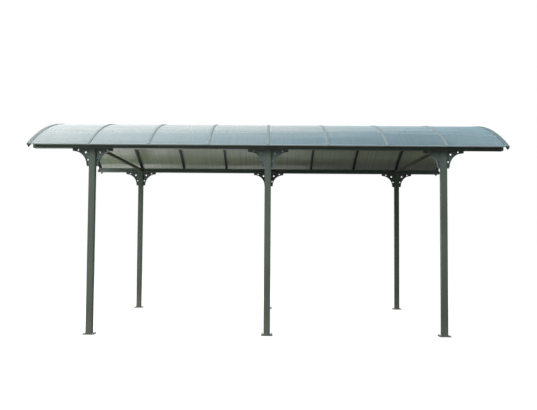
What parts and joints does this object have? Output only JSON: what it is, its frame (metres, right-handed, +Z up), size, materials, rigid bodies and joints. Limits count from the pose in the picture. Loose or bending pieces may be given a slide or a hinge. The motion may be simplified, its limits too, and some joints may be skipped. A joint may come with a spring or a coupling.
{
  "type": "carport",
  "caption": "Open carport with a shallow arched roof of bent translucent sheets on ribs, carried by two rows of square posts with eave beams, curved pierced brackets and cross ties.",
  "frame": {"origin": "on the ground, midway between the two post rows and midway along the eaves", "axes": "+X along the eaves to the right seen from the front, +Y from the front eave to the back one, +Z up"},
  "size_m": [5.07, 3.0034, 2.4383],
  "materials": {
    "frame": "satin grey-green powder coat",
    "plates": "satin grey-green powder coat",
    "sheets": "twin-wall translucent plastic sheet, smooth, slightly smoky",
    "edging": "pale grey satin strip"
  },
  "bodies": {
    "root": {"front_left_post": "frame", "front_left_foot_plate": "plates", "front_left_brackets": "frame", "front_middle_post": "frame", "front_middle_foot_plate": "plates", "front_middle_brackets": "frame", "front_right_post": "frame", "front_right_foot_plate": "plates", "front_right_brackets": "frame", "back_left_post": "frame", "back_left_foot_plate": "plates", "back_left_brackets": "frame", "back_middle_post": "frame", "back_middle_foot_plate": "plates", "back_middle_brackets": "frame", "back_right_post": "frame", "back_right_foot_plate": "plates", "back_right_brackets": "frame", "front_eave_beam": "frame", "front_beam_ends": "frame", "front_edge_strip": "edging", "back_eave_beam": "frame", "back_beam_ends": "frame", "back_edge_strip": "edging", "left_end_arch": "frame", "right_end_arch": "frame", "roof_rib_1": "frame", "roof_rib_2": "frame", "roof_rib_3": "frame", "roof_rib_4": "frame", "roof_rib_5": "frame", "roof_rib_6": "frame", "roof_rib_7": "frame", "roof_sheet_1": "sheets", "roof_sheet_2": "sheets", "roof_sheet_3": "sheets", "roof_sheet_4": "sheets", "roof_sheet_5": "sheets", "roof_sheet_6": "sheets", "roof_sheet_7": "sheets", "roof_sheet_8": "sheets", "left_cross_tie": "frame", "middle_cross_tie": "frame", "right_cross_tie": "frame"}
  },
  "joints": []
}
